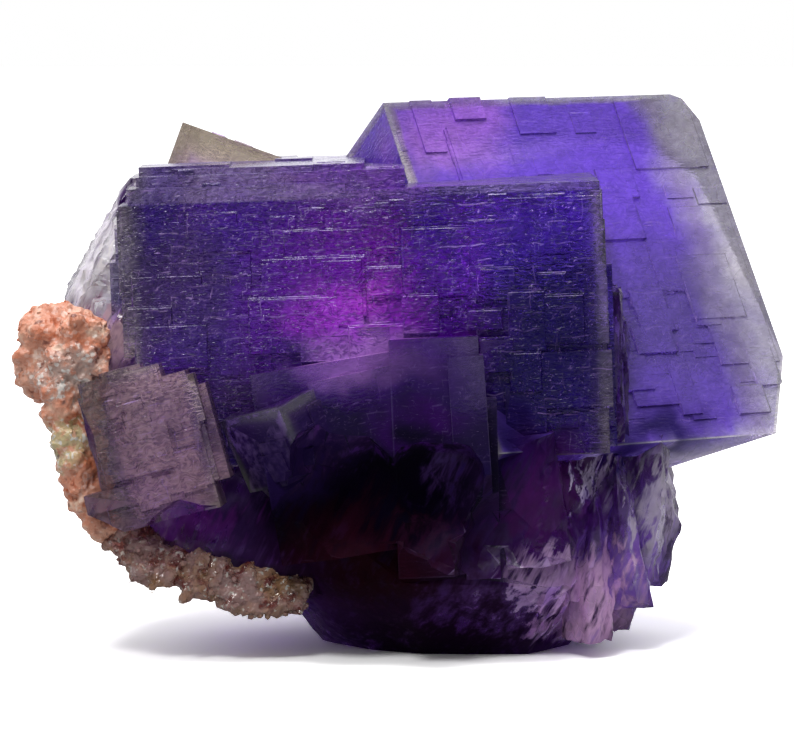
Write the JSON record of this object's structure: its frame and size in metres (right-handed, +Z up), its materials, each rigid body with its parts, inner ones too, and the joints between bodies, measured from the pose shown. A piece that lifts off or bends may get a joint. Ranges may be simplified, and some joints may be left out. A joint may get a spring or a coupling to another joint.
{
  "type": "fluorite crystal cluster",
  "caption": "Cluster of intergrown purple cubic fluorite crystals with stepped faces, an iron-stained crust and a clear quartz rim, cut flat at its base to stand on a shelf.",
  "frame": {"origin": "on the flat cut that the specimen rests on, below the middle of the group", "axes": "+Z up, +X along the width of the largest crystal face, which looks towards -Y"},
  "size_m": [0.0462, 0.0338, 0.033],
  "materials": {
    "fluorite": "translucent purple crystal with paler rims, satin growth faces",
    "iron_crust": "rough orange and cream crust with glassy spots",
    "quartz": "clear to pale yellow glassy grains"
  },
  "bodies": {
    "root": {"fluorite_cluster": "fluorite", "iron_stained_crust": "iron_crust", "quartz_druse": "quartz"}
  },
  "joints": []
}
